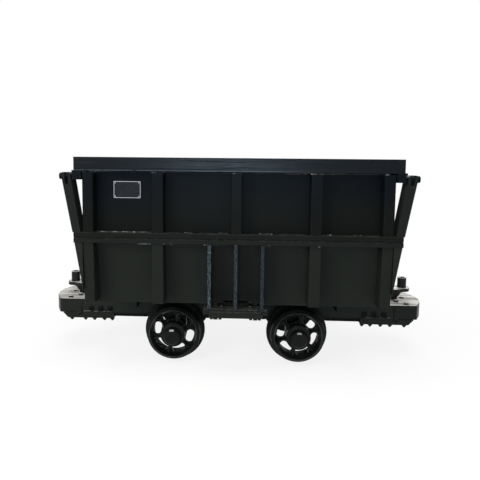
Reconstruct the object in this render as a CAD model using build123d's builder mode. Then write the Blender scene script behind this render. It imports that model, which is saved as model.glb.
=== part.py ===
# Side dump ore car for 600 mm track, with a tipping body and a door on one side.
# Millimetres, +Z up. X runs along the track and the door faces -Y.
# The origin is the middle of the plan, level with the lowest point of the wheel flanges.

import os

from build123d import *

os.makedirs("parts", exist_ok=True)

# Wheels and axles: radii, and distances out from the middle of the track
WHEELBASE = 790
AXLE_R = 35
FLANGE_R = 195
TREAD_R = 173
WHEEL_Z = FLANGE_R
WHEEL_BACK = 262
WHEEL_FACE = 376
RIDGE_R = 149
DISC_R = 132
DISC_BACK = 318
DISC_FACE = 338
HUB_R = 77
HUB_FACE = 388
HUB_BACK = 250
WINDOW_COUNT = 6
WINDOW_PITCH_R = 106
WINDOW_DEPTH = 48
WINDOW_LENGTH = 84
WINDOW_R = 22
FIRST_WINDOW = 47
CAP_R = 66
CAP_SEAT = 8
CAP_FACE = 445
FIT = 0.08

# Underframe
FRAME_Y = 190
BEAM_WIDTH = 44
BEAM_PLATE = 8
BEAM_BOTTOM = 243
BEAM_DEPTH = 100
BEAM_RISE = 95
BEAM_END = 1045
END_PLATE = 12
REST_GAP = 0.3

# Buffers and the coupling pin guides
BUFFER_REACH = 201
BUFFER_TOP = 358
BUFFER_BOTTOM = 263
BUFFER_PLATE = 15
BUFFER_WALL = 18
BUFFER_TONGUE = 97
PIN_SETBACK = 111
PIN_R = 20
JAW_BOTTOM = 412
JAW_TOP = 434
GUIDE_TOP = 503
GUIDE_TUBE_R = 29.5

# Axis on which the body tips: how far it lies behind the skin's rear face, height, pin, lugs
TILT_IN = 25
TILT_Z = 360
TILT_PIN_R = 16
TILT_X = 120
LUG_THICKNESS = 24
CHEEK_THICKNESS = 16
EYE_R = 26

# Tipping body
BODY_X = 880
WALL = 10
BODY_Y = 505
FLOOR_BOTTOM = 462
FLOOR_PLATE = 12
RIM_OUT_X = 63
RIM_OUT_Y = 80
RIM_TOP = 1307
RIM_HEIGHT = 78
SILL_DEPTH = 40
CROSSBAR_DEPTH = 25
CROSSBAR_PITCH = 500
ROLLER_Z = 505
ROLLER_R = 85
ROLLER_BOSS_R = 25

# Door, hung on two arms: outward, forward and downward places of the hinge, then the plates
HINGE_OUT = 89
HINGE_FORWARD = 65
HINGE_DROP = 33
HINGE_PIN_R = 12
KNEE_Z = 840
DOOR_BOTTOM = 425
DOOR_GAP = 11
SKIN = 10
SKIN_INSET = 48
RIB_DEPTH = 77
RIB_FOOT_IN = 17
RIB_FOOT = 448
RIB_PLATE = 8
RIB_ROUND = 5
BAND_PROUD = 8
BAND_DEPTH = 42
BAND_HEIGHT = 61
BAND_PLATE = 10
POST_WIDTH = 62
ARM_OUT = 56
ARM_TAIL = 310
BAR_X = 153
BAR_WIDTH = 20
BAR_FOOT = 433
FOOT_DEPTH = 55
FOOT_HALF = 187
FOOT_HEIGHT = 35
APRON_HALF = 155
APRON_HEIGHT = 32

# Places that follow from the sizes above
AXLE_HALF = HUB_FACE - CAP_SEAT - 2
BEAM_TOP = BEAM_BOTTOM + BEAM_DEPTH
SADDLE_TOP = BEAM_TOP + BEAM_RISE
BUFFER_BACK = BEAM_END + END_PLATE
BUFFER_NOSE = BUFFER_BACK + BUFFER_REACH
PIN_X = BUFFER_NOSE - PIN_SETBACK
FLOOR_TOP = FLOOR_BOTTOM + FLOOR_PLATE
RIM_BOTTOM = RIM_TOP - RIM_HEIGHT
RIM_X = BODY_X + RIM_OUT_X
RIM_Y = BODY_Y + RIM_OUT_Y
SKIN_BACK = -BODY_Y
BODY_FRONT = SKIN_BACK + DOOR_GAP
TILT_Y = SKIN_BACK + TILT_IN
RIB_FRONT = SKIN_BACK - SKIN - RIB_DEPTH
RIB_FOOT_FRONT = RIB_FRONT + RIB_FOOT_IN
BAND_FRONT = RIB_FRONT - BAND_PROUD
BAND_BACK = BAND_FRONT + BAND_DEPTH
FOOT_BACK = BAND_FRONT + FOOT_DEPTH
DOOR_X = BODY_X + WALL + 3
POST_X = DOOR_X - 0.5 - POST_WIDTH / 2
HINGE_X = DOOR_X + HINGE_OUT
HINGE_Y = SKIN_BACK - HINGE_FORWARD
BAND_HALF = DOOR_X + ARM_OUT - 4
HINGE_Z = RIM_BOTTOM - HINGE_DROP
DOOR_TOP = RIM_BOTTOM - 9
BAND_BOTTOM = KNEE_Z - BAND_HEIGHT / 2
BAND_TOP = KNEE_Z + BAND_HEIGHT / 2


def skin_back(z):
    """Rear face of the door's skin, which slants inwards below the knee."""
    return SKIN_BACK + SKIN_INSET * max(0, KNEE_Z - z) / (KNEE_Z - DOOR_BOTTOM)


def skin_front(z):
    return skin_back(z) - SKIN


FLOOR_FRONT = skin_back(FLOOR_TOP) + DOOR_GAP
DOOR_CUT_HALF = BAR_X - BAR_WIDTH / 2 - 2
DOOR_CUT_TOP = DOOR_BOTTOM + 21


def save(part, name):
    """Give the piece its name and write it."""
    part.label = name
    export_step(part, f"parts/{name}.step")


# Both ends and both sides of the car: name, direction
ENDS = (("left", -1), ("right", 1))
FACES = (("door", -1), ("far", 1))

# Wheels, axles and hub caps
for end, sx in ENDS:
    axle_x = sx * WHEELBASE / 2
    turning_axis = Axis((axle_x, 0, WHEEL_Z), (0, 1, 0))
    with BuildPart(Plane(origin=(axle_x, 0, WHEEL_Z), z_dir=(0, 1, 0))) as axle:
        Cylinder(AXLE_R, 2 * AXLE_HALF)
    save(axle.part, f"axle_{end}")

    with BuildPart() as caps:
        for face, sy in FACES:
            with BuildSketch(Plane(origin=(axle_x, 0, WHEEL_Z), x_dir=(1, 0, 0), z_dir=(0, 0, sy))):
                with BuildLine():
                    Polyline((0, HUB_FACE - CAP_SEAT), (CAP_R, HUB_FACE - CAP_SEAT), (CAP_R, HUB_FACE + 4), (CAP_R - 10, HUB_FACE + 8),
                             (CAP_R - 16, CAP_FACE - 9), (CAP_R - 25, CAP_FACE), (0, CAP_FACE), close=True)
                make_face()
            revolve(axis=turning_axis)
    save(caps.part, f"hub_caps_{end}")

    for face, sy in FACES:
        section = Plane(origin=(axle_x, 0, WHEEL_Z), x_dir=(1, 0, 0), z_dir=(0, 0, sy))
        disc = Plane(origin=(axle_x, sy * DISC_FACE, WHEEL_Z), x_dir=(1, 0, 0), z_dir=(0, sy, 0))
        with BuildPart() as wheel:
            # Half section: hub back, disc, rim, flange, tread, ridge, cone down to the disc, hub face
            with BuildSketch(section):
                with BuildLine():
                    Polyline(
                        (AXLE_R, HUB_BACK), (CAP_R - 4, HUB_BACK), (CAP_R, DISC_BACK), (DISC_R - 2, DISC_BACK),
                        (DISC_R + 2, WHEEL_BACK), (FLANGE_R - 6, WHEEL_BACK), (FLANGE_R, WHEEL_BACK + 6),
                        (FLANGE_R - 1, WHEEL_BACK + 16), (TREAD_R + 5, WHEEL_BACK + 29), (TREAD_R + 1, WHEEL_BACK + 36),
                        (TREAD_R - 4, WHEEL_FACE - 18), (RIDGE_R, WHEEL_FACE), (DISC_R, DISC_FACE),
                        (HUB_R + 4, DISC_FACE), (HUB_R, HUB_FACE + 4), (CAP_R, HUB_FACE + 4),
                        (CAP_R, HUB_FACE - CAP_SEAT), (AXLE_R, HUB_FACE - CAP_SEAT), close=True)
                make_face()
            revolve(axis=turning_axis)
            with BuildSketch(disc):
                with PolarLocations(WINDOW_PITCH_R, WINDOW_COUNT, start_angle=FIRST_WINDOW):
                    RectangleRounded(WINDOW_DEPTH, WINDOW_LENGTH, WINDOW_R)
            extrude(amount=-(DISC_FACE - DISC_BACK), mode=Mode.SUBTRACT)
            # Thin ridge down the middle of each spoke, from the hub to the rim
            with BuildSketch(disc):
                with PolarLocations((HUB_R + DISC_R) / 2 + 1, WINDOW_COUNT, start_angle=FIRST_WINDOW - 30):
                    Rectangle(DISC_R - HUB_R, 11)
            extrude(amount=20, taper=6)
        save(wheel.part, f"wheel_{end}_{face}")

# Frame beams: channels that are low at the ends and in the middle and step up over each axle.
# Side view of one half: along the underside and back along the top, with a notch at the foot of the outer step.
RAMP_FOOT = 202
RAMP_HEAD = 155
NOTCH_DEPTH = 40
NOTCH_OUT = 272
axle_half = WHEELBASE / 2
UNDERSIDE = [(axle_half - RAMP_FOOT, BEAM_BOTTOM), (axle_half - RAMP_HEAD, BEAM_BOTTOM + BEAM_RISE),
             (axle_half + RAMP_HEAD, BEAM_BOTTOM + BEAM_RISE), (axle_half + RAMP_FOOT, BEAM_BOTTOM),
             (BEAM_END, BEAM_BOTTOM)]
TOPSIDE = [(BEAM_END, BEAM_TOP), (axle_half + NOTCH_OUT, BEAM_TOP), (axle_half + NOTCH_OUT, BEAM_TOP - NOTCH_DEPTH),
           (axle_half + RAMP_HEAD + 7, SADDLE_TOP), (axle_half - RAMP_FOOT - 3, SADDLE_TOP),
           (axle_half - RAMP_FOOT - 50, BEAM_TOP)]
beam_right = UNDERSIDE + TOPSIDE
beam_left = [(-x, z) for x, z in reversed(beam_right)]

with BuildPart() as beams:
    for side, sy in FACES:
        with BuildSketch(Plane.XZ.offset(-sy * FRAME_Y)):
            with BuildLine():
                Polyline(*beam_right, *beam_left, close=True)
            make_face()
        extrude(amount=sy * BEAM_WIDTH)
        with BuildSketch(Plane.XZ.offset(-sy * (FRAME_Y - BEAM_PLATE))):
            with BuildLine():
                Polyline(*beam_right, *beam_left, close=True)
            make_face()
            offset(amount=-BEAM_PLATE, kind=Kind.INTERSECTION, mode=Mode.REPLACE)
        extrude(amount=sy * BEAM_WIDTH, mode=Mode.SUBTRACT)
save(beams.part, "frame_beams")

# Cross members between the beams, two of them up over the axles: x of the middle, height above the low ones
CROSS_MEMBERS = ((-740, 0), (-axle_half, BEAM_RISE), (-TILT_X, 0), (TILT_X, 0), (axle_half, BEAM_RISE), (740, 0))
CROSS_FLANGE = 70
cross_low = BEAM_BOTTOM + BEAM_PLATE + 2
cross_high = BEAM_TOP - BEAM_PLATE - 2
with BuildPart() as cross:
    for x, rise in CROSS_MEMBERS:
        with BuildSketch(Plane.XZ.offset(-(FRAME_Y - BEAM_PLATE))):
            with Locations((x, (cross_low + cross_high) / 2 + rise)):
                Rectangle(CROSS_FLANGE, cross_high - cross_low)
            with Locations((x + BEAM_PLATE, (cross_low + cross_high) / 2 + rise)):
                Rectangle(CROSS_FLANGE, cross_high - cross_low - 2 * BEAM_PLATE, mode=Mode.SUBTRACT)
        extrude(amount=2 * (FRAME_Y - BEAM_PLATE))
save(cross.part, "cross_members")

with BuildPart() as end_plates:
    for end, sx in ENDS:
        with BuildSketch(Plane.YZ.offset(sx * (BEAM_END + END_PLATE / 2))):
            with Locations((0, (BEAM_BOTTOM + BEAM_TOP) / 2)):
                Rectangle(2 * FRAME_Y, BEAM_DEPTH)
        extrude(amount=END_PLATE / 2, both=True)
save(end_plates.part, "end_plates")

# Buffers, their shoes and the coupling pin guides
BUFFER_BOW = 26
BUFFER_CORNER = BUFFER_NOSE - 68
CHEEK_Y = 110
SHOE_PLATE = 14
SHOE_Y = FRAME_Y + 10
SHOE_INNER = BUFFER_BACK - 245
LIP_TOP = BEAM_BOTTOM + 31
POST_FRONT = BUFFER_BACK + 43
for end, sx in ENDS:
    # D-shaped head with a bowed nose, hollow from below, bored for the coupling pin
    with BuildPart() as buffer:
        with BuildSketch(Plane.XY.offset(BUFFER_BOTTOM)):
            with BuildLine():
                Polyline((sx * (BUFFER_NOSE - BUFFER_BOW), CHEEK_Y), (sx * BUFFER_CORNER, FRAME_Y),
                         (sx * BUFFER_BACK, FRAME_Y), (sx * BUFFER_BACK, -FRAME_Y),
                         (sx * BUFFER_CORNER, -FRAME_Y), (sx * (BUFFER_NOSE - BUFFER_BOW), -CHEEK_Y))
                ThreePointArc((sx * (BUFFER_NOSE - BUFFER_BOW), -CHEEK_Y), (sx * BUFFER_NOSE, 0),
                              (sx * (BUFFER_NOSE - BUFFER_BOW), CHEEK_Y))
            make_face()
        extrude(amount=BUFFER_TOP - BUFFER_BOTTOM)
        corners = [e for e in buffer.edges().filter_by(Axis.Z)
                   if abs(abs(e.center().X) - BUFFER_CORNER) < 1]
        fillet(corners, 24)
        # The top runs on over the beams as a plate
        with BuildSketch(Plane.XY.offset(BUFFER_TOP)):
            with Locations((sx * (BUFFER_BACK - BUFFER_TONGUE / 2), 0)):
                Rectangle(BUFFER_TONGUE, 2 * FRAME_Y)
        extrude(amount=-BUFFER_PLATE)
        rim_edges = [e for e in buffer.faces().sort_by(Axis.Z)[-1].edges() if abs(e.center().X) > BUFFER_BACK + 30]
        fillet(rim_edges, 5)
        cavity_end = BUFFER_NOSE - 70
        with BuildSketch(Plane.XY.offset(BUFFER_BOTTOM)):
            with Locations((sx * (BUFFER_BACK + BUFFER_WALL + cavity_end) / 2, 0)):
                RectangleRounded(cavity_end - BUFFER_BACK - BUFFER_WALL, 2 * (FRAME_Y - BUFFER_WALL), 30)
        extrude(amount=BUFFER_TOP - BUFFER_BOTTOM - BUFFER_PLATE, mode=Mode.SUBTRACT)
        with Locations((sx * PIN_X, 0, BUFFER_TOP)):
            Hole(PIN_R, 2 * BUFFER_PLATE)
    save(buffer.part, f"buffer_{end}")

    # Shoe under the buffer and the beam ends, turned up at the nose, with a lip up each side
    with BuildPart() as shoe:
        shoe_nose = BUFFER_NOSE - 91
        shoe_bottom = BEAM_BOTTOM - SHOE_PLATE
        with BuildSketch(Plane.XZ.offset(SHOE_Y)):
            with BuildLine():
                Polyline((sx * SHOE_INNER, BEAM_BOTTOM), (sx * (BUFFER_BACK + 0.2), BEAM_BOTTOM),
                         (sx * (BUFFER_BACK + 0.2), BUFFER_BOTTOM), (sx * shoe_nose, BUFFER_BOTTOM),
                         (sx * (shoe_nose - 33), shoe_bottom), (sx * (SHOE_INNER + 16), shoe_bottom), close=True)
            make_face()
        extrude(amount=-2 * SHOE_Y)
        for side, sy in FACES:
            with BuildSketch(Plane.XZ.offset(-sy * FRAME_Y)):
                with BuildLine():
                    Polyline((sx * (SHOE_INNER + 2), BEAM_BOTTOM - 4), (sx * (SHOE_INNER + 14), LIP_TOP),
                             (sx * (BUFFER_BACK - 27), LIP_TOP), (sx * (BUFFER_BACK - 15), BEAM_BOTTOM - 4),
                             close=True)
                make_face()
            extrude(amount=-sy * (SHOE_Y - FRAME_Y))
    save(shoe.part, f"buffer_shoe_{end}")

    # Guide that holds the coupling pin over the buffer: post, jaw plate, gussets and tube
    with BuildPart() as guide:
        with BuildSketch(Plane.XY.offset(BUFFER_TOP)):
            with Locations((sx * (BUFFER_BACK + 5 + POST_FRONT) / 2, 0)):
                Rectangle(POST_FRONT - BUFFER_BACK - 5, 120)
        extrude(amount=JAW_BOTTOM - BUFFER_TOP)
        with BuildSketch(Plane.XY.offset(JAW_BOTTOM)):
            with BuildLine():
                Polyline((sx * PIN_X, 50), (sx * (PIN_X - 45), 74), (sx * (BUFFER_BACK + 5), 74),
                         (sx * (BUFFER_BACK + 5), -74), (sx * (PIN_X - 45), -74), (sx * PIN_X, -50))
                ThreePointArc((sx * PIN_X, -50), (sx * (PIN_X + 50), 0), (sx * PIN_X, 50))
            make_face()
        extrude(amount=JAW_TOP - JAW_BOTTOM)
        for side, sy in FACES:
            with BuildSketch(Plane.XZ.offset(-sy * 26)):
                with BuildLine():
                    Polyline((sx * (POST_FRONT - 1), BUFFER_TOP + 8), (sx * (POST_FRONT - 1), JAW_BOTTOM),
                             (sx * (POST_FRONT + 36), JAW_BOTTOM), (sx * (POST_FRONT + 12), BUFFER_TOP + 22), close=True)
                make_face()
            extrude(amount=-sy * 18)
        with BuildSketch(Plane.XY.offset(JAW_TOP)):
            with Locations((sx * PIN_X, 0)):
                Circle(GUIDE_TUBE_R)
        extrude(amount=GUIDE_TOP - JAW_TOP)
        with Locations((sx * PIN_X, 0, GUIDE_TOP)):
            Hole(PIN_R, GUIDE_TOP - JAW_BOTTOM)
    save(guide.part, f"pin_guide_{end}")

    # Pedestals that seat the axle under the raised part of the beams
    axle_x = sx * axle_half
    with BuildPart() as seats:
        for side, sy in FACES:
            with BuildSketch(Plane.XZ.offset(-sy * FRAME_Y)):
                with BuildLine():
                    Polyline((axle_x - 100, BEAM_BOTTOM + BEAM_RISE), (axle_x + 100, BEAM_BOTTOM + BEAM_RISE),
                             (axle_x + 62, BEAM_BOTTOM + 7), (axle_x + 62, WHEEL_Z - 45), (axle_x + 40, WHEEL_Z - 57),
                             (axle_x - 40, WHEEL_Z - 57), (axle_x - 62, WHEEL_Z - 45), (axle_x - 62, BEAM_BOTTOM + 7),
                             close=True)
                make_face()
                with Locations((axle_x, WHEEL_Z)):
                    Circle(AXLE_R + FIT, mode=Mode.SUBTRACT)
            extrude(amount=sy * BEAM_WIDTH)
    save(seats.part, f"axle_seats_{end}")

# Outriggers carry the tipping axis out past the wheels, one each side of each lug
CHEEK_OUT = (LUG_THICKNESS + CHEEK_THICKNESS) / 2 + 6
with BuildPart() as outriggers:
    for middle in (-TILT_X, TILT_X):
        for cheek_x in (middle - CHEEK_OUT, middle + CHEEK_OUT):
            with BuildSketch(Plane.YZ.offset(cheek_x - CHEEK_THICKNESS / 2)):
                with BuildLine():
                    Polyline((-FRAME_Y, BEAM_BOTTOM + 6), (-FRAME_Y, BEAM_TOP - 6), (TILT_Y + 40, TILT_Z + 23),
                             (TILT_Y, TILT_Z + EYE_R), (TILT_Y - EYE_R, TILT_Z), (TILT_Y - 10, TILT_Z - EYE_R), close=True)
                make_face()
                with Locations((TILT_Y, TILT_Z)):
                    Circle(TILT_PIN_R, mode=Mode.SUBTRACT)
            extrude(amount=CHEEK_THICKNESS)
save(outriggers.part, "tilt_outriggers")

with BuildPart() as tilt_pins:
    for middle in (-TILT_X, TILT_X):
        with Locations((middle, TILT_Y, TILT_Z)):
            Cylinder(TILT_PIN_R, 2 * CHEEK_OUT + 2 * CHEEK_THICKNESS, rotation=(0, 90, 0))
save(tilt_pins.part, "tilt_pins")

# Tipping body
with BuildPart() as floor:
    with BuildSketch(Plane.XY.offset(FLOOR_BOTTOM)):
        with Locations((0, (BODY_Y + WALL + FLOOR_FRONT) / 2)):
            Rectangle(2 * (BODY_X + WALL), BODY_Y + WALL - FLOOR_FRONT)
    extrude(amount=FLOOR_PLATE)
save(floor.part, "hopper_floor")

# Two bearers rest on the raised parts of the beams, and crossbars stiffen the floor beside and between them
with BuildPart() as bearers:
    with BuildSketch(Plane.XY.offset(FLOOR_BOTTOM)):
        for side, sy in FACES:
            with Locations((0, sy * (FRAME_Y - BEAM_WIDTH / 2))):
                Rectangle(2 * (BODY_X - 30), BEAM_WIDTH)
    extrude(amount=-(FLOOR_BOTTOM - SADDLE_TOP - REST_GAP))
save(bearers.part, "hopper_bearers")

# Crossbars: y of the near end, y of the far end
sill_back = FLOOR_FRONT + WALL
CROSSBAR_RUNS = ((sill_back, -FRAME_Y), (BEAM_WIDTH - FRAME_Y, FRAME_Y - BEAM_WIDTH), (FRAME_Y, BODY_Y - 15))
with BuildPart() as crossbars:
    with BuildSketch(Plane.XY.offset(FLOOR_BOTTOM)):
        for near, far in CROSSBAR_RUNS:
            with Locations((0, (near + far) / 2)):
                with GridLocations(CROSSBAR_PITCH, 0, 4, 1):
                    Rectangle(50, far - near)
    extrude(amount=-CROSSBAR_DEPTH)
save(crossbars.part, "floor_crossbars")

# Strip under the front edge of the floor, with a gap in the middle for the lugs
with BuildPart() as sill:
    for end, sx in ENDS:
        with BuildSketch(Plane.XZ.offset(-sill_back)):
            with Locations((sx * (DOOR_CUT_HALF + BODY_X) / 2, FLOOR_BOTTOM - SILL_DEPTH / 2)):
                Rectangle(BODY_X - DOOR_CUT_HALF, SILL_DEPTH)
        extrude(amount=WALL)
save(sill.part, "front_sill")

with BuildPart() as far_wall:
    with BuildSketch(Plane.XZ.offset(-BODY_Y)):
        with Locations((0, (FLOOR_TOP + RIM_BOTTOM) / 2)):
            Rectangle(2 * (BODY_X + WALL), RIM_BOTTOM - FLOOR_TOP)
    extrude(amount=-WALL)
save(far_wall.part, "far_wall")

# Pressed ribs on the far wall, the middle one standing on the roller's bracket: x of the middle, foot
BRACKET_TOP = 700
far_corner = BODY_X - 24
FAR_RIBS = ((-far_corner, FLOOR_BOTTOM), (-450, FLOOR_BOTTOM), (0, BRACKET_TOP + 5), (450, FLOOR_BOTTOM),
            (far_corner, FLOOR_BOTTOM))
FAR_RIB_WIDTH = 66
with BuildPart() as far_ribs:
    for x, foot in FAR_RIBS:
        with BuildSketch(Plane.XY.offset(foot)):
            with Locations((x, (BODY_Y + WALL + RIM_Y) / 2)):
                Rectangle(FAR_RIB_WIDTH, RIM_Y - BODY_Y - WALL)
            with Locations((x, (BODY_Y + WALL + RIM_Y) / 2 - RIB_PLATE)):
                Rectangle(FAR_RIB_WIDTH - 2 * RIB_PLATE, RIM_Y - BODY_Y - WALL, mode=Mode.SUBTRACT)
        extrude(amount=RIM_BOTTOM - foot)
save(far_ribs.part, "far_ribs")

for end, sx in ENDS:
    with BuildPart() as end_wall:
        with BuildSketch(Plane.YZ.offset(sx * BODY_X)):
            with BuildLine():
                Polyline((BODY_Y, FLOOR_TOP), (BODY_Y, RIM_BOTTOM), (BODY_FRONT, RIM_BOTTOM), (BODY_FRONT, KNEE_Z),
                         (FLOOR_FRONT, FLOOR_TOP), close=True)
            make_face()
        extrude(amount=sx * WALL)
    save(end_wall.part, f"end_wall_{end}")

# Rim of inverted channel round the top
with BuildPart() as rim:
    with BuildSketch(Plane.XY.offset(RIM_BOTTOM)):
        Rectangle(2 * RIM_X, 2 * RIM_Y)
        Rectangle(2 * BODY_X, 2 * BODY_Y, mode=Mode.SUBTRACT)
    extrude(amount=RIM_HEIGHT)
    with BuildSketch(Plane.XY.offset(RIM_BOTTOM)):
        Rectangle(2 * (RIM_X - WALL), 2 * (RIM_Y - WALL))
        Rectangle(2 * (BODY_X + WALL), 2 * (BODY_Y + WALL), mode=Mode.SUBTRACT)
    extrude(amount=RIM_HEIGHT - WALL, mode=Mode.SUBTRACT)
save(rim.part, "top_rim")

# Lugs hang from the floor to the tipping pins
with BuildPart() as lugs:
    for middle in (-TILT_X, TILT_X):
        with BuildSketch(Plane.YZ.offset(middle - LUG_THICKNESS / 2)):
            with BuildLine():
                Polyline((FLOOR_FRONT + 55, FLOOR_BOTTOM), (FLOOR_FRONT, FLOOR_BOTTOM), (FLOOR_FRONT, TILT_Z + 52),
                         (TILT_Y - EYE_R, TILT_Z + 6), (TILT_Y - 12, TILT_Z - EYE_R), (TILT_Y + 12, TILT_Z - EYE_R),
                         (TILT_Y + EYE_R, TILT_Z), close=True)
            make_face()
            with Locations((TILT_Y, TILT_Z)):
                Circle(TILT_PIN_R + FIT, mode=Mode.SUBTRACT)
        extrude(amount=LUG_THICKNESS)
save(lugs.part, "tilt_lugs")

# Brackets at the front corners that carry the door: a block under the rim, and a tongue for the arm's fork
TONGUE = 12
BLOCK_BACK = BODY_FRONT + 39
EYE_DROP = 20
with BuildPart() as brackets:
    for end, sx in ENDS:
        tongue_in = HINGE_X - TONGUE / 2
        with BuildSketch(Plane.XY.offset(HINGE_Z - EYE_DROP)):
            with BuildLine():
                Polyline((sx * (DOOR_X + 6), RIB_FRONT), (sx * (HINGE_X - 33), RIB_FRONT),
                         (sx * (HINGE_X - 33), BODY_FRONT), (sx * tongue_in, BODY_FRONT),
                         (sx * tongue_in, HINGE_Y - EYE_DROP), (sx * (tongue_in + TONGUE), HINGE_Y - EYE_DROP),
                         (sx * (tongue_in + TONGUE), BLOCK_BACK), (sx * (BODY_X + WALL), BLOCK_BACK),
                         (sx * (BODY_X + WALL), BODY_FRONT), (sx * (DOOR_X + 6), BODY_FRONT), close=True)
            make_face()
        extrude(amount=RIM_BOTTOM - HINGE_Z + EYE_DROP)
    # The tongues are rounded about the pin and stay below the rim
    above = RIM_BOTTOM + 10
    below = HINGE_Z - EYE_DROP - 5
    front = HINGE_Y - EYE_DROP - 10
    for end, sx in ENDS:
        with BuildSketch(Plane.YZ.offset(sx * (HINGE_X - TONGUE / 2 - 10))):
            with BuildLine():
                Polyline((front, below), (front, above), (BODY_FRONT, above), (BODY_FRONT, HINGE_Z + EYE_DROP),
                         (HINGE_Y, HINGE_Z + EYE_DROP))
                ThreePointArc((HINGE_Y, HINGE_Z + EYE_DROP), (HINGE_Y - EYE_DROP, HINGE_Z), (HINGE_Y, HINGE_Z - EYE_DROP))
                Polyline((HINGE_Y, HINGE_Z - EYE_DROP), (HINGE_Y, below), (front, below))
            make_face()
            with Locations((HINGE_Y, HINGE_Z)):
                Circle(HINGE_PIN_R + FIT)
        extrude(amount=sx * 40, mode=Mode.SUBTRACT)
save(brackets.part, "pivot_brackets")

# Tipping roller on its stub at the far side
BRACKET_PLATE = 24
with BuildPart() as roller_bracket:
    with BuildSketch(Plane.XZ.offset(-(BODY_Y + WALL))):
        with BuildLine():
            Polyline((-100, FLOOR_BOTTOM), (100, FLOOR_BOTTOM), (100, ROLLER_Z + 55), (40, BRACKET_TOP),
                     (-40, BRACKET_TOP), (-100, ROLLER_Z + 55), close=True)
        make_face()
    extrude(amount=-BRACKET_PLATE)
    with BuildSketch(Plane.XZ.offset(-(BODY_Y + WALL + BRACKET_PLATE))):
        with Locations((0, ROLLER_Z)):
            Circle(ROLLER_BOSS_R)
    extrude(amount=-58)
save(roller_bracket.part, "roller_bracket")

ROLLER_BACK = BODY_Y + WALL + BRACKET_PLATE + 3
ROLLER_FACE = ROLLER_BACK + 58
with BuildPart() as roller:
    with BuildSketch(Plane.XY.offset(ROLLER_Z)):
        with BuildLine():
            Polyline((ROLLER_BOSS_R + FIT, ROLLER_BACK), (44, ROLLER_BACK), (48, ROLLER_BACK + 6),
                     (ROLLER_R - 5, ROLLER_BACK + 6), (ROLLER_R, ROLLER_BACK + 11), (ROLLER_R, ROLLER_FACE - 5),
                     (ROLLER_R - 5, ROLLER_FACE), (ROLLER_BOSS_R + FIT, ROLLER_FACE), close=True)
        make_face()
    revolve(axis=Axis((0, 0, ROLLER_Z), (0, 1, 0)))
save(roller.part, "dump_roller")

# Door: folded skin, its lower edge cut up between the outer bars so that it clears the lugs
with BuildPart() as skin:
    with BuildSketch(Plane.YZ.offset(-DOOR_X)):
        with BuildLine():
            Polyline((SKIN_BACK, DOOR_TOP), (SKIN_BACK, KNEE_Z), (skin_back(DOOR_BOTTOM), DOOR_BOTTOM),
                     (skin_front(DOOR_BOTTOM), DOOR_BOTTOM), (SKIN_BACK - SKIN, KNEE_Z), (SKIN_BACK - SKIN, DOOR_TOP),
                     close=True)
        make_face()
    extrude(amount=2 * DOOR_X)
    with BuildSketch(Plane.XZ.offset(-SKIN_BACK - SKIN_INSET - SKIN)):
        with Locations((0, DOOR_CUT_TOP - 30)):
            Rectangle(2 * DOOR_CUT_HALF, 60)
    extrude(amount=60, both=True, mode=Mode.SUBTRACT)
save(skin.part, "door_skin")

# Rolled band across the door at the knee, with a shallow groove along its face
GROOVE = 6
with BuildPart() as band:
    with BuildSketch(Plane.YZ.offset(-BAND_HALF)) as band_section:
        with BuildLine():
            Polyline((BAND_BACK, BAND_BOTTOM), (BAND_FRONT, BAND_BOTTOM), (BAND_FRONT, KNEE_Z - 5.5),
                     (BAND_FRONT + GROOVE, KNEE_Z - 2.5), (BAND_FRONT + GROOVE, KNEE_Z + 2.5),
                     (BAND_FRONT, KNEE_Z + 5.5), (BAND_FRONT, BAND_TOP), (BAND_BACK, BAND_TOP),
                     (BAND_BACK, BAND_TOP - BAND_PLATE), (BAND_FRONT + BAND_PLATE + 3, BAND_TOP - BAND_PLATE),
                     (BAND_FRONT + BAND_PLATE + 3, BAND_BOTTOM + BAND_PLATE), (BAND_BACK, BAND_BOTTOM + BAND_PLATE),
                     close=True)
        make_face()
        front_corners = band_section.vertices().group_by(Axis.X)[0].sort_by(Axis.Y)
        fillet([front_corners[0], front_corners[-1]], RIB_ROUND)
    extrude(amount=2 * BAND_HALF)
save(band.part, "door_band")

BAND_ROOM = Pos(0, BAND_BACK - 32, KNEE_Z) * Box(2 * BAND_HALF, 64, BAND_HEIGHT)

# Upright channels on the skin: x of the middle, width, whether it goes on below the band
RIBS = ((-455, 67, True), (0, 64, False), (455, 67, True))
POSTS = ((-POST_X, POST_WIDTH, True), (POST_X, POST_WIDTH, True))
RIB_BEND = KNEE_Z - 60


def channel(x, width, full):
    """Upright channel of the door, open to the skin, with rounded front edges."""
    with BuildPart() as bar:
        with BuildSketch(Plane.YZ.offset(x - width / 2)):
            with BuildLine():
                Polyline((SKIN_BACK - SKIN, DOOR_TOP), (SKIN_BACK - SKIN, KNEE_Z), (skin_front(RIB_FOOT), RIB_FOOT),
                         (RIB_FOOT_FRONT, RIB_FOOT), (RIB_FRONT, RIB_BEND), (RIB_FRONT, DOOR_TOP), close=True)
            make_face()
        extrude(amount=width)
        fillet([e for e in bar.edges() if e.center().Y < RIB_FOOT_FRONT - 5 and e.bounding_box().size.Z > 50], RIB_ROUND)
        with BuildSketch(Plane.YZ.offset(x - width / 2 + RIB_PLATE)):
            with BuildLine():
                Polyline((SKIN_BACK - SKIN, DOOR_TOP), (SKIN_BACK - SKIN, KNEE_Z), (skin_front(RIB_FOOT), RIB_FOOT),
                         (RIB_FOOT_FRONT + RIB_PLATE, RIB_FOOT), (RIB_FRONT + RIB_PLATE, RIB_BEND),
                         (RIB_FRONT + RIB_PLATE, DOOR_TOP), close=True)
            make_face()
        extrude(amount=width - 2 * RIB_PLATE, mode=Mode.SUBTRACT)
        add(BAND_ROOM, mode=Mode.SUBTRACT)
        if not full:
            split(bisect_by=Plane.XY.offset(KNEE_Z), keep=Keep.TOP)
    return bar.part


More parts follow.
